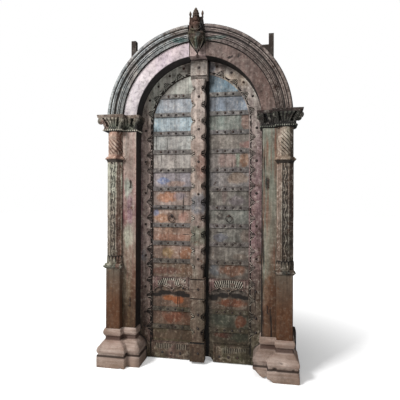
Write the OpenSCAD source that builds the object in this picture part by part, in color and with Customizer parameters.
// Arched double door in its portal frame, standing on two moulded stone bases.
// Millimetres. +X to the right, +Y into the building, +Z up. The origin is on the
// floor, in the middle of the frame's width and of the stone bases' depth.
// Pieces that come in pairs are drawn on the right-hand side and mirrored.

/* [Opening and arch] */
// Clear width between the jambs
opening_w = 1200; // [1000:10:1440]
// Height at which the arch stands on the capitals
spring_z = 2400; // [2000:10:2880]
// How far the arch's centre lies below the spring line
arch_drop = 57; // [20:1:90]
// Width of the flat ring round the opening
fascia_w = 131.7; // [100:0.1:160]
// Width of the moulded ring round the fascia
archivolt_w = 147; // [120:1:180]
// Depth of the frame from its front face to its back
frame_depth = 150; // [120:1:200]
// Joint left between the curved pieces
joint_gap = 0.3; // [0.1:0.1:1]
// Angle of the right-hand joint in the moulded ring
right_joint_angle = 39; // [30:1:60]
// Angle of the left-hand joint in the moulded ring
left_joint_angle = 45; // [30:1:60]

/* [Keystone] */
// Half the width of the keystone
keystone_half_w = 79; // [60:1:90]
// Height of the pointed notch in the keystone's foot
keystone_notch_h = 38; // [10:1:60]
// How far the keystone's upper block stands forward
keystone_proj = 40; // [20:1:60]
// Height of the carved figure above the top of the arch
figure_rise = 139; // [80:1:160]
// How far the carved figure stands forward of the keystone
figure_proj = 76; // [50:1:84]

/* [Columns] */
// Width of a column across its flats
column_w = 148; // [120:1:180]
// How far a column stands forward of its jamb
column_proj = 61; // [40:1:80]
// Depth of a column behind the jamb's face
column_inset = 30; // [20:1:60]
// Width of the jamb's face beside the column
jamb_face_w = 136; // [100:1:165]
// Height of the plain pedestal
pedestal_h = 580; // [400:5:700]
// Height of the belt moulding on the pedestal
belt_h = 45; // [30:1:60]
// How far the belt and the ring moulding stand out
belt_proj = 22; // [10:1:30]
// Height of the carved foot of the shaft
shaft_foot_h = 76; // [50:1:100]
// Length of the left neck, from the ring moulding to the capital
left_neck_h = 239; // [180:1:320]
// Length of the right neck, from the ring moulding to the capital
right_neck_h = 269; // [180:1:330]
// Height of a ring moulding
ring_h = 56; // [40:1:70]
// Height of a capital
capital_h = 158; // [120:1:200]
// How far a capital stands out at its outer side
capital_out = 84; // [50:1:90]
// How far a capital stands out at its front
capital_front = 34; // [20:1:60]
// How far a capital stands out into the opening
capital_in = 44; // [20:1:60]

/* [Stone bases] */
// Height of a stone base under the column
base_h = 345; // [280:5:420]
// Depth of a stone base from front to back
base_depth = 440; // [400:5:520]
// Height of the plain plinth block
plinth_h = 110; // [80:1:140]
// How far the plinth stands out in front
plinth_front = 87; // [60:1:100]
// How far the plinth stands out at its outer side
plinth_out = 51; // [40:1:80]
// How far the plinth stands out into the opening
plinth_in = 72; // [50:1:90]
// Height of the rough rear block above the mouldings
rear_block_rise = 17; // [0:1:40]
// Width of the break in the right-hand base
break_w = 175; // [60:1:220]
// Height of the break in the right-hand base
break_h = 70; // [30:1:100]

/* [Rear framing] */
// Width of a rear post
post_w = 48; // [40:1:60]
// Height of the left rear post's top above the arch
left_post_rise = -32; // [-60:1:100]
// Height of the right rear post's top above the arch
right_post_rise = -54; // [-60:1:100]
// Height of the cross rail above the top of the leaves
cross_rail_rise = 51; // [20:1:100]
// Height of the cross rail
cross_rail_h = 52; // [30:1:60]
// Depth of the cross rail
cross_rail_d = 40; // [30:1:50]

/* [Leaves] */
// How far a leaf laps behind the frame
leaf_lap = 18; // [10:1:24]
// Gap between the frame's back and a leaf
leaf_gap = 4; // [3:1:8]
// Gap between the two leaves
meeting_gap = 6; // [4:1:10]
// Height of the leaves' lower edge above the floor
leaf_clear = 8; // [5:1:20]
// Thickness of the planks
board_t = 26; // [20:1:40]
// Thickness of the carved border
border_t = 22; // [15:1:30]
// Width of the carved border
border_w = 112; // [90:1:136]
// Width of the thin bead inside the border
bead_w = 10; // [6:1:16]
// Thickness of the battens
batten_t = 12; // [8:1:18]
// Height of a batten
batten_h = 42; // [30:1:60]
// Height of the top row of studs above the arch's centre
top_row_rise = 272; // [220:1:276]
// Spacing of the upper rows
upper_row_pitch = 184; // [170:1:186]
// Spacing of the rows below the seventh
lower_row_pitch = 178; // [170:1:182]
// Height of the upper one of the two lowest battens
low_row_z = 497; // [470:1:520]
// Spacing of the two lowest battens
low_row_pitch = 176; // [160:1:190]
// Distance of the first stud from the middle of the door
first_stud_x = 170; // [150:1:190]
// Spacing of the studs along a batten
stud_pitch = 76; // [60:1:80]
// Radius of a stud on a batten
stud_r = 11; // [8:1:14]
// Radius of a stud on the border and the mullion
border_stud_r = 12.5; // [8:0.5:15]
// Height of a stud's dome
stud_h = 10; // [6:1:14]
// Height of the bottom rail
bottom_rail_h = 167; // [120:1:200]
// How much further from the mullion the right-hand bottom rail starts
right_rail_shift = 42; // [0:1:60]
// Width of the break at the right leaf's lower corner, beside the mullion
leaf_break_w = 58; // [20:1:100]
// Height of the break at the right leaf's lower corner
leaf_break_h = 41; // [20:1:80]
// Height of the cusped bracket's top edge
bracket_top_z = 818; // [800:1:870]
// Height of the cusped bracket
bracket_h = 184; // [150:1:210]
// Number of rails on the back of a leaf
back_rail_count = 5; // [3:1:7]
// Depth of a rail on the back of a leaf
back_rail_t = 30; // [20:1:40]
// Height of a rail on the back of a leaf
back_rail_h = 90; // [60:1:120]

/* [Mullion] */
// Half the width of the carved mullion
mullion_half_w = 81; // [60:1:84]
// How far the mullion stands forward of the planks
mullion_proj = 93; // [50:1:110]
// Height of the mullion's foot above the leaves' lower edge
mullion_foot_rise = 16; // [0:1:30]
// Gap between the back of the mullion and the right leaf
mullion_clear = 2; // [1:0.5:5]
// Gap beside the mullion on the left leaf
left_side_gap = 4; // [1:1:10]
// Gap beside the mullion on the right leaf, for its swing
right_side_gap = 14; // [12:1:24]
// Gap between the mullion's top corners and the arch
mullion_top_gap = 12.5; // [8:0.5:30]
// Height of the mullion's square head
mullion_head_h = 175; // [120:1:200]
// Height of the first lobe's middle above the arch's centre
first_lobe_rise = 237; // [220:1:260]
// Spacing of the lobes
lobe_pitch = 156.5; // [150:0.5:160]
// Height of the cut between two lobes
lobe_cut = 12; // [6:1:20]
// Depth of a lobe's swelling
lobe_swell = 14; // [6:1:20]

/* [Pivots] */
// Distance of the pivot from the opening's edge
pivot_out = 12.5; // [8:0.5:16]
// Distance of the pivot behind the planks
pivot_back = 25; // [24:0.5:30]
// Width and depth of the pivot stile
pivot_stile_w = 50; // [46:1:52]
// Radius of a pivot pin
pin_r = 15; // [10:0.5:17]
// Running clearance round a pivot pin
pin_clear = 0.05; // [0.02:0.01:0.1]
// Height of a floor socket
socket_h = 62; // [50:1:80]
// Height of the upper pivot bracket above the arch's centre
upper_pivot_rise = 114; // [90:1:150]
// Thickness of the upper pivot bracket
bracket_t = 60; // [40:1:80]

/* [Pull rings and hooks] */
// Radius of a pull ring to the middle of its bar
ring_r = 30; // [24:1:33]
// Radius of a pull ring's bar
ring_bar_r = 4; // [3:0.5:5]
// Gap between the left pull ring and the batten below it
left_pull_gap = 9; // [5:1:24]
// Gap between the right pull ring and the batten below it
right_pull_gap = 14; // [5:1:24]
// Distance of a pull ring from the middle of the door
pull_x = 288; // [250:1:320]
// Height of the upper hooks
upper_hook_z = 1742; // [1700:1:1800]
// Height of the lower hooks
lower_hook_z = 596; // [560:1:640]

/* [Hidden] */
$fn = 96;

// Segments of the large arcs
arc_fn = 240;
// A length past every piece, for cutting
far = 5000;

// Frame
jamb_front = -base_depth / 2 + column_proj + plinth_front;
frame_back = jamb_front + frame_depth;
open_r = opening_w / 2;
arch_z = spring_z - arch_drop;
fascia_r = open_r + fascia_w;
archivolt_in = fascia_r + joint_gap;
archivolt_out = archivolt_in + archivolt_w;
column_front = jamb_front - column_proj;
column_back = jamb_front + column_inset;
column_in = open_r + jamb_face_w;
column_out = column_in + column_w;
column_x = column_in + column_w / 2;
column_y = column_front + column_w / 2;
octagon_r = column_w / 2 / cos(22.5);
belt_z = base_h + pedestal_h;
shaft_z = belt_z + belt_h;
capital_z = spring_z - capital_h;
left_ring_z = capital_z - left_neck_h - ring_h;
right_ring_z = capital_z - right_neck_h - ring_h;
rear_block_h = base_h + rear_block_rise;

// Leaves
leaf_face = frame_back + leaf_gap;
board_front = leaf_face + border_t;
board_back = board_front + board_t;
leaf_out = open_r + leaf_lap;
leaf_in = meeting_gap / 2;
border_in = leaf_out - border_w - leaf_lap;
bead_in = border_in - bead_w;
batten_front = board_front - batten_t;
board_w = (leaf_out - leaf_in) / 3;
upper_rows = 6;
top_row_z = arch_z + top_row_rise;
lower_row_z = top_row_z - upper_rows * upper_row_pitch;
lower_rows = floor((lower_row_z - bracket_top_z - batten_h) / lower_row_pitch);
bracket_mid_z = bracket_top_z - bracket_h / 2;
back_rail_first_z = 180;
back_rail_drop = 85;
pull_y = board_front - 15;

// Mullion
mullion_top = sqrt(open_r * open_r - mullion_half_w * mullion_half_w) - mullion_top_gap;
first_lobe_z = arch_z + first_lobe_rise;
mullion_block_top = bracket_top_z + 10;
mullion_block_bottom = mullion_block_top - 208;
mullion_foot_top = 216;
mullion_low_z = leaf_clear + mullion_foot_rise;
lobe_count = floor((first_lobe_z - mullion_block_top) / lobe_pitch) + 1;

// Pivots and posts
pivot_x = open_r + pivot_out;
pivot_y = board_back + pivot_back;
nose_r = pivot_back - 1;
post_back = pivot_y - nose_r;
left_post_top = arch_z + archivolt_out + left_post_rise;
right_post_top = arch_z + archivolt_out + right_post_rise;
cross_rail_z = arch_z + leaf_out + cross_rail_rise;
bracket_z = arch_z + upper_pivot_rise;
swing_r = pivot_stile_w / sqrt(2);
rear_block_in = pivot_x + swing_r + 12;
post_in = rear_block_in;
thrust_gap = 0.3;
socket_floor = 12;
pin_bottom = socket_floor + thrust_gap;
stile_bottom = socket_h + 2;
stile_top = bracket_z - 2;
pin_top = bracket_z + bracket_t + 4;

// Where the raised work of a leaf begins, beside the mullion
function panel_in(side) = mullion_half_w + (side == "left" ? left_side_gap : right_side_gap);

// Height of a row of studs above the bracket, counted from the top
function row_z(i) = top_row_z - min(i, upper_rows) * upper_row_pitch
    - max(i - upper_rows, 0) * lower_row_pitch;

// Half the width that the bead leaves free at the top of a batten
function row_reach(z) = z + batten_h / 2 > arch_z
    ? sqrt(bead_in * bead_in - pow(z + batten_h / 2 - arch_z, 2)) : bead_in;

// Heights of all battens: those above the bracket, then the two lowest
batten_heights = [
    for (i = [0 : upper_rows + lower_rows]) row_z(i),
    low_row_z, low_row_z - low_row_pitch,
];

// Number of studs that a batten has room for
function row_studs_at(z) = floor((row_reach(z) - first_stud_x - stud_r) / stud_pitch) + 1;

// Height of a pull ring's pivot, from the gap to the batten below it
function pull_z(gap) = row_z(upper_rows + 1) + batten_h / 2 + gap + 2 * ring_r + ring_bar_r;

// Shared shapes ------------------------------------------------------------

// Mirrors what is drawn on the right to the side that is asked for
module on_side(side) {
    mirror([side == "left" ? 1 : 0, 0, 0]) children();
}

// A flat shape in X and Z given a thickness from y0 backwards
module slab(y0, t) {
    translate([0, y0 + t, 0]) rotate([90, 0, 0]) linear_extrude(t) children();
}

// A flat shape in depth and height drawn along X from x0 to x1
module along_x(x0, x1) {
    translate([x0, 0, 0]) rotate([90, 0, 90]) linear_extrude(x1 - x0) children();
}

// A band from x0 to x1 whose end swells by s
module swelling(x0, x1, z0, h, s) {
    r = (h * h / 4 + s * s) / (2 * s);
    translate([x0, z0]) square([x1 - r - x0, h]);
    intersection() {
        translate([x1 - r, z0 + h / 2]) circle(r);
        translate([x0, z0]) square([x1 - x0 + 1, h]);
    }
}

// A spherical cap with its base at the origin, pointing along -Y
module dome(r, h) {
    ball_r = (r * r + h * h) / (2 * h);
    rotate([90, 0, 0]) rotate_extrude()
        intersection() {
            translate([0, h - ball_r]) circle(ball_r);
            square([r + 1, h + 1]);
        }
}

// Outline of a leaf, or of what follows it, out to radius r
module arched(r, x0, z0) {
    translate([x0, z0]) square([r - x0, arch_z - z0]);
    translate([0, arch_z]) intersection() {
        circle(r, $fn = arc_fn);
        translate([x0, 0]) square([r, r]);
    }
}

// Everything that a section sweeps between two angles of the arch
module arch_sweep(a0, a1) {
    translate([0, 0, arch_z]) rotate([90, 0, 0])
        rotate_extrude(angle = a1 - a0, start = a0, $fn = arc_fn) children();
}

// Stone bases --------------------------------------------------------------

// Moulding of the base, out to proj from the face that it carries
module base_edge(proj, back) {
    quirk = 6;
    torus_z = plinth_h + quirk;
    torus_h = 0.37 * (base_h - torus_z);
    neck_z = torus_z + torus_h + 0.16 * (base_h - torus_z);
    top_torus_h = 0.31 * (base_h - torus_z);
    top_torus_z = base_h - top_torus_h;
    top_proj = 16;
    translate([-back, 0]) square([back + proj, plinth_h]);
    translate([-back, 0]) square([back + proj - quirk, torus_z + 1]);
    swelling(-back, proj, torus_z, torus_h, 26);
    polygon([
        [-back, torus_z], [proj - 20, torus_z + torus_h - 1],
        [4, neck_z], [-4, neck_z + 4], [-4, top_torus_z + 1], [-back, top_torus_z + 1],
    ]);
    swelling(-back, top_proj, top_torus_z, top_torus_h, 12);
}

// One moulded block between two side faces
module base_block(x0, x1, in_proj, face_y) {
    wide = x1 - x0;
    deep = frame_back - face_y;
    intersection() {
        along_x(x0 - 2 * in_proj, x1 + 2 * plinth_out)
            translate([face_y, 0]) mirror([1, 0]) base_edge(plinth_front, deep);
        slab(face_y - 2 * plinth_front, deep + 2 * plinth_front) {
            translate([x1, 0]) base_edge(plinth_out, wide);
            translate([x0, 0]) mirror([1, 0]) base_edge(in_proj, wide);
        }
    }
}

module stone_base_body() {
    rear_in_column = 60;
    base_block(column_in, column_out, plinth_in + 9, column_front);
    base_block(open_r, column_x, plinth_in, jamb_front);
    along_x(rear_block_in, column_out - 20) polygon([
        [frame_back - rear_in_column, 0], [base_depth / 2, 0], [base_depth / 2, rear_block_h],
        [frame_back, rear_block_h], [frame_back, base_h], [frame_back - rear_in_column, base_h],
    ]);
    along_x(rear_block_in, column_out + plinth_out - 12)
        translate([frame_back, 0]) square([base_depth / 2 - frame_back, rear_block_h]);
}

module left_stone_base() {
    color("#b39a8f") on_side("left") stone_base_body();
}

// The right-hand base has lost its lower inner corner
module right_stone_base() {
    inner = open_r - plinth_in;
    color("#b39a8f") difference() {
        stone_base_body();
        slab(-far / 2, far)
            polygon([
                [inner - 40, -1], [inner + break_w, -1], [inner + break_w - 18, 10],
                [inner + 0.7 * break_w, 22], [inner + 0.55 * break_w, 8],
                [inner + 0.4 * break_w, 18], [inner + 0.12 * break_w, break_h],
                [inner - 40, break_h + 25],
            ]);
    }
}

// Jambs and columns --------------------------------------------------------

module jamb(side) {
    color("#8a6f64") on_side(side)
        translate([0, 0, base_h]) linear_extrude(spring_z - capital_h - base_h) difference() {
            translate([open_r, jamb_front]) square([column_out - 4 - open_r, frame_depth]);
            translate([column_in, jamb_front - 1]) square([column_w, column_inset + 1]);
        }
}

// Keeps the part of a column that stands clear of the jamb or is let into it
module engaged(side) {
    on_side(side) difference() {
        translate([column_x, column_y, 0]) children();
        translate([0, column_back, 0]) cube([far, far, far]);
        translate([0, jamb_front, 0]) cube([column_in + joint_gap, far, far]);
    }
}

module pedestal(side) {
    chamfer = 8;
    color("#76503a") on_side(side)
        translate([0, 0, base_h]) linear_extrude(pedestal_h) polygon([
            [column_in, column_back], [column_in, column_front + chamfer],
            [column_in + chamfer, column_front], [column_out - chamfer - 4, column_front],
            [column_out - 4, column_front + chamfer], [column_out - 4, column_back],
        ]);
}

// The belt is square in plan, as the pedestal is
module belt_course(side) {
    color("#5d5a52") on_side(side) intersection() {
        along_x(column_in - belt_proj, column_out + belt_proj)
            translate([column_front, 0]) mirror([1, 0]) belt_edge(column_proj + column_inset);
        slab(column_front - belt_proj, column_back - column_front + belt_proj) {
            translate([column_out - 4, 0]) belt_edge(column_w - 4);
            translate([column_in, 0]) mirror([1, 0]) belt_edge(column_w - 4);
        }
        translate([0, -far, 0]) cube([far, far + jamb_front, far]);
    }
}

module belt_edge(back) {
    polygon([
        [-back, belt_z], [2, belt_z], [belt_proj - 4, belt_z + belt_h * 0.3],
        [belt_proj - 4, belt_z + belt_h * 0.35], [-back, belt_z + belt_h * 0.35],
    ]);
    swelling(-back, belt_proj, belt_z + belt_h * 0.3, belt_h * 0.3, 5);
    translate([-back, belt_z]) square([back + 9, belt_h]);
}

module shaft(side, top_z) {
    foot_out = 7;
    color("#8d8475") engaged(side) rotate([0, 0, 22.5]) {
        translate([0, 0, shaft_z]) cylinder(top_z - shaft_z, octagon_r, octagon_r, $fn = 8);
        translate([0, 0, shaft_z])
            cylinder(shaft_foot_h, octagon_r + foot_out, octagon_r + foot_out, $fn = 8);
    }
}

// Eight-sided ring with a rounded nose over a sloping underside
module ring_moulding(side, z0) {
    r = octagon_r;
    p = belt_proj;
    color("#77695a") engaged(side) rotate([0, 0, 22.5]) translate([0, 0, z0])
        rotate_extrude($fn = 8) polygon([
            [0, 0], [r + 2, 0], [r + p * 0.55, ring_h * 0.45], [r + p, ring_h * 0.52],
            [r + p + 3, ring_h * 0.64], [r + p, ring_h * 0.78], [r + p * 0.5, ring_h * 0.84],
            [r + p * 0.4, ring_h], [0, ring_h],
        ]);
}

module neck(side, z0) {
    color("#9a8577") engaged(side)
        translate([0, 0, z0]) cylinder(capital_z - z0, r = column_w / 2, $fn = 128);
}

// Bead, hollow bell and abacus, out to proj from the face that it crowns
module capital_edge(proj, back) {
    bead_h = 15;
    abacus_h = 30;
    bell_h = capital_h - bead_h - abacus_h;
    swelling(-back, min(10, proj), capital_z, bead_h, 5);
    polygon([
        [-back, capital_z + bead_h - 1], [2, capital_z + bead_h - 1],
        [0.22 * proj, capital_z + bead_h + 0.45 * bell_h],
        [0.5 * proj, capital_z + bead_h + 0.8 * bell_h],
        [0.86 * proj, spring_z - abacus_h], [0.86 * proj, spring_z - abacus_h + 1],
        [-back, spring_z - abacus_h + 1],
    ]);
    translate([-back, spring_z - abacus_h]) square([back + 0.9 * proj, abacus_h]);
    translate([-back, spring_z - abacus_h / 2]) square([back + proj, abacus_h / 2]);
}

module capital_block(x0, x1, face_y, back_y) {
    wide = x1 - x0;
    intersection() {
        along_x(x0 - 2 * capital_in, x1 + 2 * capital_out)
            translate([face_y, 0]) mirror([1, 0]) capital_edge(capital_front, back_y - face_y);
        slab(face_y - 2 * capital_front, back_y - face_y + 2 * capital_front) {
            translate([x1, 0]) capital_edge(capital_out, wide);
            translate([x0, 0]) mirror([1, 0]) capital_edge(capital_in, wide);
        }
    }
}

module capital(side) {
    color("#4f4a42") on_side(side) {
        capital_block(column_in, column_out, column_front, frame_back - 40);
        capital_block(open_r, column_x, jamb_front, frame_back);
    }
}

// Arch ---------------------------------------------------------------------

// Leaves out what lies below the spring line and within the keystone
module arch_trim() {
    difference() {
        children();
        translate([-far / 2, -far / 2, spring_z - far]) cube([far, far, far]);
        translate([-keystone_half_w - joint_gap, -far / 2, 0])
            cube([2 * (keystone_half_w + joint_gap), far, far]);
    }
}

module fascia_section() {
    translate([open_r, -frame_back]) square([fascia_w, frame_depth]);
}

// Section of the moulded ring: forward is up. From the inside: reeded band, fillet,
// hollow, fillet and the outer roll.
module archivolt_section() {
    front = -jamb_front;
    r0 = archivolt_in;
    w = archivolt_w;
    translate([r0, -frame_back]) square([w, frame_depth + 8]);
    translate([r0 + 0.03 * w, -frame_back]) square([0.2 * w, frame_depth + 19]);
    translate([r0 + 0.26 * w, -frame_back]) square([0.06 * w, frame_depth + 31]);
    translate([r0 + 0.34 * w, -frame_back]) square([0.05 * w, frame_depth + 38]);
    difference() {
        translate([r0 + 0.36 * w, -frame_back]) square([0.27 * w, frame_depth + 47]);
        translate([r0 + 0.4 * w, front + 47]) circle(0.19 * w);
    }
    translate([r0 + 0.66 * w, -frame_back]) square([0.07 * w, frame_depth + 52]);
    translate([r0 + 0.74 * w, -frame_back]) square([0.26 * w, frame_depth + 42]);
    intersection() {
        translate([r0 + 0.87 * w, front + 40]) circle(0.15 * w);
        translate([r0 + 0.74 * w, front]) square([0.26 * w, far]);
    }
}

module fascia(side) {
    color(side == "left" ? "#c4b8b8" : "#96776c") on_side(side)
        arch_trim() arch_sweep(0, 90) fascia_section();
}

module lower_archivolt(side, joint) {
    color("#8d8784") on_side(side) arch_trim() arch_sweep(0, joint) archivolt_section();
}

module upper_archivolt(side, joint) {
    gap_angle = joint_gap / archivolt_in * 180 / PI;
    color("#85807b") on_side(side)
        arch_trim() arch_sweep(joint + gap_angle, 90) archivolt_section();
}

module keystone() {
    top_r = archivolt_out;
    color("#8f7f78") intersection() {
        difference() {
            union() {
                arch_sweep(60, 120)
                    translate([open_r, -frame_back]) square([top_r - open_r, frame_depth]);
                arch_sweep(60, 120) translate([archivolt_in, -frame_back])
                    square([top_r - archivolt_in, frame_depth + keystone_proj]);
            }
            slab(-far / 2, far / 2 + jamb_front + 60) translate([0, arch_z + open_r]) polygon([
                [-16, -20], [16, -20], [5, keystone_notch_h * 0.6],
                [0, keystone_notch_h], [-5, keystone_notch_h * 0.6],
            ]);
        }
        translate([-keystone_half_w, -far / 2, 0]) cube([2 * keystone_half_w, far, far]);
    }
}

// Seated, crowned figure on a bud-shaped corbel, against a back plate with two finials
module keystone_figure() {
    back = jamb_front - keystone_proj;
    top = arch_z + archivolt_out + figure_rise;
    y = back - figure_proj * 0.42;
    seat_z = top - 260;
    color("#6b4a35") intersection() {
        union() {
            translate([-70, back - 18, seat_z]) cube([140, 18, 186]);
            for (x = [-57, 57]) translate([x, back - 9, seat_z + 172])
                rotate_extrude($fn = 32)
                    polygon([[0, 0], [12, 0], [7, 18], [12, 34], [9, 46], [0, 68]]);
            translate([0, y, seat_z - 130]) rotate_extrude($fn = 48) polygon([
                [0, 0], [11, 6], [15, 18], [39, 66], [58, 98], [67, 115], [67, 130], [0, 130],
            ]);
            hull() {
                for (x = [-48, 48]) translate([x, y - 4, seat_z + 21]) sphere(21, $fn = 32);
                translate([0, y, seat_z + 32]) sphere(28, $fn = 32);
            }
            hull() {
                translate([0, y, seat_z + 42]) cylinder(4, r = 25, $fn = 32);
                for (x = [-25, 25]) translate([x, y, seat_z + 106]) sphere(14, $fn = 32);
            }
            for (side = [-1, 1]) {
                hull() {
                    translate([side * 37, y, seat_z + 108]) sphere(12, $fn = 24);
                    translate([side * 51, y - 6, seat_z + 64]) sphere(10, $fn = 24);
                }
                hull() {
                    translate([side * 51, y - 6, seat_z + 64]) sphere(10, $fn = 24);
                    translate([side * 29, y - 26, seat_z + 47]) sphere(9, $fn = 24);
                }
            }
            translate([0, y, seat_z + 114]) cylinder(30, r = 13, $fn = 48);
            translate([0, y - 3, seat_z + 156]) sphere(29, $fn = 64);
            translate([0, y - 2, seat_z + 168]) rotate_extrude($fn = 48) polygon([
                [0, 0], [31, 0], [33, 10], [26, 17], [30, 32], [18, 53], [10, 66], [11, 74], [0, 92],
            ]);
        }
        translate([-far / 2, back - figure_proj, 0]) cube([far, figure_proj, far]);
    }
}

// Rear framing and pivots --------------------------------------------------

module rear_post(side, top_z) {
    color("#3f322c") on_side(side) translate([post_in, frame_back, rear_block_h])
        cube([post_w, post_back - frame_back, top_z - rear_block_h]);
}

module rear_cross_rail() {
    color("#3f322c") translate([-post_in, frame_back, cross_rail_z])
        cube([2 * post_in, cross_rail_d, cross_rail_h]);
}

// Block with a round nose about the pivot and a hole for the pin
module pivot_block(z0, h, x_end, hole_z, hole_h) {
    difference() {
        union() {
            translate([pivot_x, pivot_y, z0]) cylinder(h, r = nose_r);
            translate([pivot_x, pivot_y - nose_r, z0]) cube([x_end - pivot_x, 2 * nose_r, h]);
        }
        translate([pivot_x, pivot_y, hole_z]) cylinder(hole_h, r = pin_r + pin_clear);
    }
}

module pivot_bracket(side) {
    color("#4a3a30") on_side(side)
        pivot_block(bracket_z, bracket_t, post_in + post_w, bracket_z - 1, bracket_t + 2);
}

module floor_sockets() {
    color("#4a3a30") for (side = ["left", "right"]) on_side(side)
        pivot_block(0, socket_h, rear_block_in, socket_floor, socket_h);
}

module pivot_stile(side) {
    w = pivot_stile_w;
    color("#54443a") on_side(side) {
        translate([pivot_x - w / 2, board_back, stile_bottom])
            cube([w, w, stile_top - stile_bottom]);
        translate([pivot_x, pivot_y, pin_bottom]) cylinder(stile_bottom - pin_bottom + 1, r = pin_r);
        translate([pivot_x, pivot_y, stile_top - 1]) cylinder(pin_top - stile_top + 1, r = pin_r);
    }
}

// Leaves -------------------------------------------------------------------

// Broken lower corner of the right leaf, as a shape to take away
module corner_break() {
    w = leaf_break_w;
    h = leaf_break_h;
    translate([mullion_half_w, leaf_clear]) polygon([
        [-far, -1], [w, -1], [0.9 * w, 0.2 * h], [0.68 * w, 0.5 * h], [0.6 * w, 0.8 * h],
        [0.25 * w, h], [-far, h],
    ]);
}

// The boards are counted from the middle of the door outwards
module board(side, index, width) {
    tints = ["#807b79", "#87807d", "#7a7573"];
    color(tints[index]) on_side(side) slab(board_front, board_t) difference() {
        intersection() {
            arched(leaf_out, leaf_in, leaf_clear);
            translate([leaf_in + index * board_w, 0]) square([width, far]);
        }
        if (side == "right" && index == 0) corner_break();
    }
}

// Lobed inner edge of the border, as a shape to take away
module lobe_cuts(lowest_z) {
    last = floor((first_lobe_z - lowest_z) / lobe_pitch - 0.5);
    for (i = [2 : last])
        translate([border_in - lobe_cut, first_lobe_z - (i + 0.5) * lobe_pitch]) circle(lobe_cut + 6);
}

module border_stile(side) {
    color("#83766c") on_side(side) slab(leaf_face, border_t) difference() {
        translate([border_in, leaf_clear]) square([leaf_out - border_in, arch_z - leaf_clear]);
        lobe_cuts(leaf_clear + 290);
    }
}

module arch_rail(side) {
    color("#8b7f72") on_side(side) slab(leaf_face, border_t) intersection() {
        translate([0, arch_z]) difference() {
            circle(leaf_out, $fn = arc_fn);
            circle(border_in, $fn = arc_fn);
            for (a = [12 : 18 : 70]) rotate(a) translate([border_in - lobe_cut, 0]) circle(lobe_cut + 6);
        }
        translate([panel_in(side), arch_z]) square([far, far]);
    }
}

module bead(side) {
    rise = 8;
    color("#6d5a50") on_side(side) slab(board_front - rise, rise) difference() {
        arched(border_in - joint_gap, panel_in(side), leaf_clear + bottom_rail_h);
        arched(bead_in, -1, 0);
    }
}

module panel_strip(side, z0, h) {
    intersection() {
        arched(bead_in - joint_gap, panel_in(side), leaf_clear);
        translate([0, z0]) square([far, h]);
    }
}

module battens(side) {
    color("#4b4540") on_side(side)
        for (z = batten_heights)
            slab(batten_front, batten_t) panel_strip(side, z - batten_h / 2, batten_h);
}

// Board with a cusped lower edge: two arches with a pendant between them
module cusped_bracket(side) {
    t = border_t - 4;
    w = bead_in - joint_gap - panel_in(side);
    mid = panel_in(side) + w / 2;
    z0 = bracket_top_z - bracket_h;
    arch_r = w * 0.2;
    color("#7b6557") on_side(side) slab(board_front - t, t) difference() {
        panel_strip(side, z0, bracket_h);
        for (dx = [-1, 1]) translate([mid + dx * w * 0.23, z0 - 6]) circle(arch_r);
        for (dx = [-1, 1]) translate([mid + dx * w * 0.13, z0 + 2]) circle(arch_r * 0.8);
        for (dx = [-1, 1]) translate([mid + dx * w * 0.46, z0 - 10]) circle(arch_r * 0.7);
    }
}

module bottom_rail(side) {
    t = border_t - 4;
    x0 = panel_in(side) + (side == "right" ? right_rail_shift : 0);
    color("#6f6a57") on_side(side) slab(board_front - t, t)
        translate([x0, leaf_clear]) square([border_in - joint_gap - x0, bottom_rail_h]);
}

module back_rails(side) {
    x0 = leaf_in + 20;
    top_z = stile_top - back_rail_drop - back_rail_h;
    pitch = (top_z - back_rail_first_z) / (back_rail_count - 1);
    color("#5b4a3f") on_side(side) for (i = [0 : back_rail_count - 1])
        slab(board_back, back_rail_t) translate([x0, back_rail_first_z + i * pitch])
            square([pivot_x - pivot_stile_w / 2 - x0, back_rail_h]);
}

// A stud on the border, the bracket, the bottom rail or the mullion
module border_stud(x, y, z) {
    translate([x, y, z]) dome(border_stud_r, stud_h);
}

module leaf_studs(side) {
    stile_x = (border_in + open_r) / 2 + 6;
    arch_stud_r = stile_x + 14;
    bracket_y = board_front - border_t + 4;
    panel_w = bead_in - panel_in(side);
    panel_x = panel_in(side) + panel_w / 2;
    bracket_stud_z = bracket_mid_z - 16;
    bottom_z = leaf_clear + bottom_rail_h / 3;
    color("#26221f") on_side(side) {
        for (z = batten_heights) for (i = [0 : row_studs_at(z) - 1])
            translate([first_stud_x + i * stud_pitch, batten_front, z]) dome(stud_r, stud_h);
        for (i = [-1 : 1]) {
            border_stud(panel_x + i * 0.3 * panel_w, bracket_y, bracket_stud_z);
            border_stud(panel_x + i * 0.23 * panel_w, bracket_y, bottom_z);
        }
        for (i = [1 : 5]) border_stud(stile_x, leaf_face, first_lobe_z - 2 * i * lobe_pitch + 10);
        for (z = [bracket_stud_z, low_row_z - 40, low_row_z - low_row_pitch])
            border_stud(stile_x, leaf_face, z);
        for (a = [25, 41.5, 57, 73])
            border_stud(arch_stud_r * cos(a), leaf_face, arch_z + arch_stud_r * sin(a));
    }
}

module left_studs() {
    leaf_studs("left");
    y = board_front - mullion_proj;
    color("#26221f") {
        border_stud(0, y, arch_z + mullion_top - 66);
        for (i = [0 : 2 : lobe_count - 1]) border_stud(0, y, first_lobe_z - i * lobe_pitch);
        for (z = [bracket_mid_z, low_row_z - 19, low_row_z - 150, mullion_foot_top / 2])
            border_stud(0, y, z);
    }
}

// One swelling length of the mullion
module lobe(z, h) {
    r = (h * h / 4 + lobe_swell * lobe_swell) / (2 * lobe_swell);
    translate([0, z]) intersection() {
        translate([mullion_half_w - r, 0]) circle(r);
        translate([r - mullion_half_w, 0]) circle(r);
        translate([-mullion_half_w, -h / 2]) square([2 * mullion_half_w, h]);
    }
}

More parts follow.
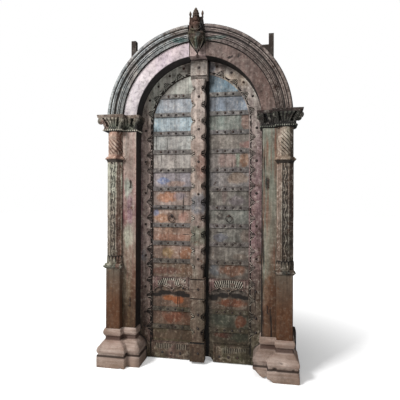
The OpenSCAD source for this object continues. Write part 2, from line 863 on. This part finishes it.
module mullion_outline() {
    w = mullion_half_w;
    top = arch_z + mullion_top;
    waist = w - lobe_swell - 8;
    low_lobe_z = mullion_block_bottom - 92;
    translate([-waist, mullion_low_z]) square([2 * waist, top - mullion_low_z - 1]);
    translate([-w, top - mullion_head_h]) square([2 * w, mullion_head_h]);
    for (i = [0 : lobe_count - 1]) lobe(first_lobe_z - i * lobe_pitch, lobe_pitch - lobe_cut);
    translate([-w, mullion_block_bottom]) square([2 * w, mullion_block_top - mullion_block_bottom]);
    for (i = [0 : 1]) lobe(low_lobe_z - i * 0.95 * lobe_pitch, lobe_pitch * 0.85);
    translate([-w, mullion_low_z]) square([2 * w, mullion_foot_top - mullion_low_z]);
}

// Rides on the left leaf and laps over the edge of the right one
module mullion() {
    color("#a39384") difference() {
        slab(board_front - mullion_proj, mullion_proj) mullion_outline();
        translate([-leaf_in, board_front - mullion_clear, 0]) cube([far, far, far]);
    }
}

// Pull rings and hooks -----------------------------------------------------

// Eye, shank and rose that hold a pull ring
module ring_staple(side, z) {
    eye_y = pull_y;
    eye_r = ring_bar_r + 3.8;
    color("#2b2522") on_side(side) translate([pull_x, 0, z]) {
        translate([-3, eye_y, 0]) rotate([0, 90, 0]) difference() {
            cylinder(6, r = eye_r, $fn = 64);
            translate([0, 0, -1]) cylinder(8, r = ring_bar_r + 0.5, $fn = 64);
        }
        difference() {
            translate([0, board_front, 0]) rotate([90, 0, 0])
                cylinder(board_front - eye_y, r = 2.4, $fn = 48);
            translate([-4, eye_y, 0]) rotate([0, 90, 0]) cylinder(8, r = ring_bar_r + 1, $fn = 64);
        }
        translate([0, board_front, 0]) rotate([90, 0, 0]) cylinder(3, r = 13, $fn = 64);
    }
}

module pull_ring(side, z) {
    color("#2b2522") on_side(side)
        translate([pull_x, pull_y, z - ring_r]) rotate([90, 0, 0])
            rotate_extrude($fn = 96) translate([ring_r, 0]) circle(ring_bar_r, $fn = 48);
}

// A staple with its hook hanging against the jamb
module hook(side, z) {
    bar = 3.5;
    on_side(side) translate([open_r + 55, jamb_front, z]) {
        translate([0, -bar, 0]) cylinder(64, r = bar, $fn = 32);
        translate([0, -bar, 64]) sphere(bar * 2, $fn = 48);
        translate([0, -bar, 0]) sphere(bar * 1.4, $fn = 48);
        translate([0, -bar, 2]) rotate([0, 90, -30]) cylinder(16, r = bar * 0.9, $fn = 32);
    }
}

module jamb_hooks() {
    color("#2b2522") difference() {
        union() for (side = ["left", "right"]) for (z = [upper_hook_z - 38, lower_hook_z - 38])
            hook(side, z);
        translate([-far / 2, jamb_front, 0]) cube([far, far, far]);
    }
}

// Assembly -----------------------------------------------------------------

left_stone_base();
right_stone_base();
jamb("left");  // left_jamb
jamb("right");  // right_jamb
pedestal("left");  // left_pedestal
pedestal("right");  // right_pedestal
belt_course("left");  // left_belt
belt_course("right");  // right_belt
shaft("left", left_ring_z);  // left_shaft
shaft("right", right_ring_z);  // right_shaft
ring_moulding("left", left_ring_z);  // left_ring_moulding
ring_moulding("right", right_ring_z);  // right_ring_moulding
neck("left", left_ring_z + ring_h);  // left_neck
neck("right", right_ring_z + ring_h);  // right_neck
capital("left");  // left_capital
capital("right");  // right_capital
fascia("left");  // left_fascia
fascia("right");  // right_fascia
lower_archivolt("left", left_joint_angle);  // left_lower_archivolt
upper_archivolt("left", left_joint_angle);  // left_upper_archivolt
upper_archivolt("right", right_joint_angle);  // right_upper_archivolt
lower_archivolt("right", right_joint_angle);  // right_lower_archivolt
keystone();
keystone_figure();
rear_post("left", left_post_top);  // left_rear_post
rear_post("right", right_post_top);  // right_rear_post
rear_cross_rail();
pivot_bracket("left");  // left_pivot_bracket
pivot_bracket("right");  // right_pivot_bracket
floor_sockets();
jamb_hooks();
board("left", 2, far);  // left_outer_board
board("left", 1, board_w);  // left_middle_board
board("left", 0, board_w);  // left_inner_board
pivot_stile("left");  // left_pivot_stile
border_stile("left");  // left_border_stile
arch_rail("left");  // left_arch_rail
bead("left");  // left_bead
cusped_bracket("left");  // left_cusped_bracket
bottom_rail("left");  // left_bottom_rail
battens("left");  // left_battens
left_studs();
back_rails("left");  // left_back_rails
mullion();
ring_staple("left", pull_z(left_pull_gap));  // left_ring_staple
pull_ring("left", pull_z(left_pull_gap));  // left_pull_ring
board("right", 2, far);  // right_outer_board
board("right", 1, board_w);  // right_middle_board
board("right", 0, board_w);  // right_inner_board
pivot_stile("right");  // right_pivot_stile
border_stile("right");  // right_border_stile
arch_rail("right");  // right_arch_rail
bead("right");  // right_bead
cusped_bracket("right");  // right_cusped_bracket
bottom_rail("right");  // right_bottom_rail
battens("right");  // right_battens
leaf_studs("right");  // right_studs
back_rails("right");  // right_back_rails
ring_staple("right", pull_z(right_pull_gap));  // right_ring_staple
pull_ring("right", pull_z(right_pull_gap));  // right_pull_ring
